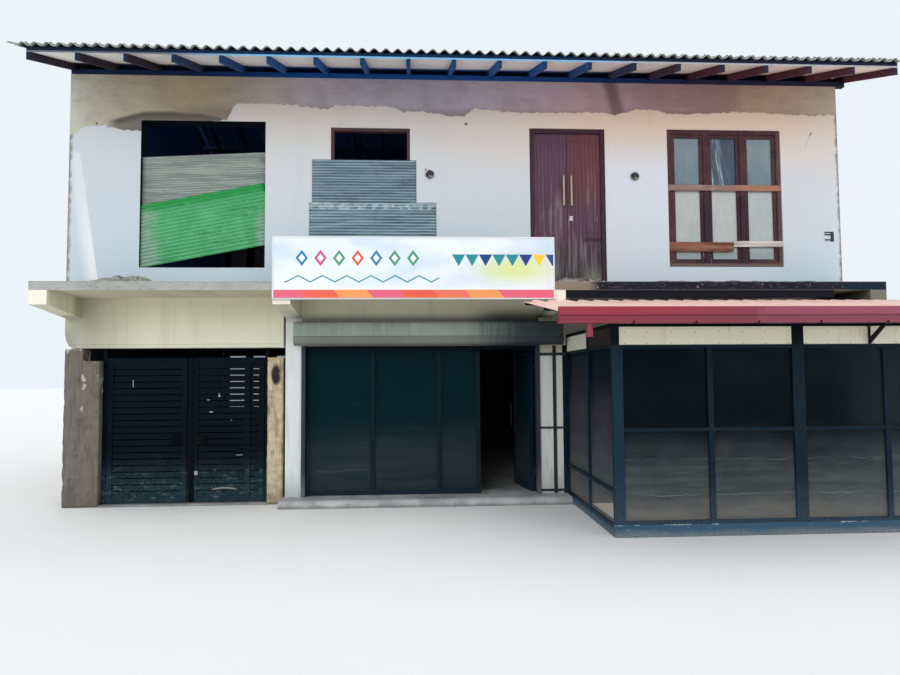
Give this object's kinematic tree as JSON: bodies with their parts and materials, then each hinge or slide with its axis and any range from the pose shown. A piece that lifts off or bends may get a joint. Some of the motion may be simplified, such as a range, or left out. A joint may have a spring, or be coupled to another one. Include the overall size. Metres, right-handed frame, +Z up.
{
  "type": "corner shop building",
  "caption": "Plastered shop house with a glazed annex, slatted yard gate, canopy slab, boarded upper windows and a corrugated gable roof.",
  "frame": {"origin": "ground level under the middle of the front wall's face, between the side walls", "axes": "+X runs along the front to the right as seen from the street, +Y into the building, +Z up"},
  "size_m": [11.194, 10.7859, 7.2652],
  "materials": {
    "concrete": "weathered cast concrete",
    "cement_plaster": "bare cement render",
    "white_plaster": "stained white limewash",
    "cream_plaster": "dusty cream paint",
    "rough_render": "rough brown render with soot",
    "dark_timber": "weathered dark brown paint",
    "pale_boards": "pale painted boards",
    "fibre_cement": "weathered fibre cement",
    "grey_zinc": "dull corrugated zinc",
    "green_sheet_paint": "bright green coated sheet",
    "red_brown_timber": "faded red brown paint",
    "pull_brass": "worn brass",
    "clear_glass": "dusty clear glass",
    "orange_timber": "raw and stained planks",
    "black_steel": "black painted steel",
    "navy_steel": "dusty near black navy paint",
    "dark_frame_steel": "dark blue grey paint",
    "shutter_steel": "grey green enamel",
    "sign_paint": "pale printed sheet",
    "blue_steel": "blue painted sheet",
    "cream_boards": "cream coated panel",
    "red_sheet": "faded red coated ribbed sheet",
    "crimson_gutter": "crimson coated sheet"
  },
  "bodies": {
    "building": {"ground_floor": "concrete", "front_step": "concrete", "left_side_wall": "cement_plaster", "right_side_wall": "cement_plaster", "back_wall": "cement_plaster", "upper_front_wall": "white_plaster", "first_floor_slab": "concrete", "canopy_brackets": "cream_plaster", "gate_lintel": "cream_plaster", "shop_lintels": "cream_plaster", "gate_pillars": "rough_render", "shop_columns": "white_plaster", "wall_plates": "dark_timber", "rafters": "dark_timber", "ridge_and_battens": "dark_timber", "eave_boards": "pale_boards", "front_roof_sheets": "fibre_cement", "back_roof_sheets": "fibre_cement", "ridge_cap": "fibre_cement", "grey_sheet": "grey_zinc", "green_sheet": "green_sheet_paint", "zinc_sheets": "grey_zinc", "upper_door_frame": "dark_timber", "upper_door_leaves": "red_brown_timber", "upper_door_pulls": "pull_brass", "window_frames": "dark_timber", "window_glass": "clear_glass", "window_planks": "orange_timber", "wall_fittings": "black_steel", "gate_posts": "black_steel", "shopfront_frame": "dark_frame_steel", "shopfront_glass": "clear_glass", "roller_shutter": "shutter_steel", "sign_board": "sign_paint", "annex_base": "blue_steel", "annex_frame": "dark_frame_steel", "annex_glass": "clear_glass", "annex_fascia": "cream_boards", "annex_roof_frame": "black_steel", "annex_roof_sheets": "red_sheet", "annex_gutter": "crimson_gutter"},
    "gate_left": {"gate_leaf_left": "navy_steel"},
    "gate_right": {"gate_leaf_right": "navy_steel"},
    "shop_door": {"shop_door_frame": "dark_frame_steel", "shop_door_glass": "clear_glass"}
  },
  "joints": [
    {"name": "gate_left_hinge", "type": "hinge", "parent": "building", "child": "gate_left", "pos_m": [-4.893, 0.152, 1], "axis": [0, 0, 1], "range_deg": [0, 90]},
    {"name": "gate_right_hinge", "type": "hinge", "parent": "building", "child": "gate_right", "pos_m": [-2.782, 0.152, 1], "axis": [0, 0, 1], "range_deg": [-90, 0]},
    {"name": "shop_door_hinge", "type": "hinge", "parent": "building", "child": "shop_door", "pos_m": [0.951, 0.142, 1], "axis": [0, 0, 1], "range_deg": [-5, 80]}
  ]
}
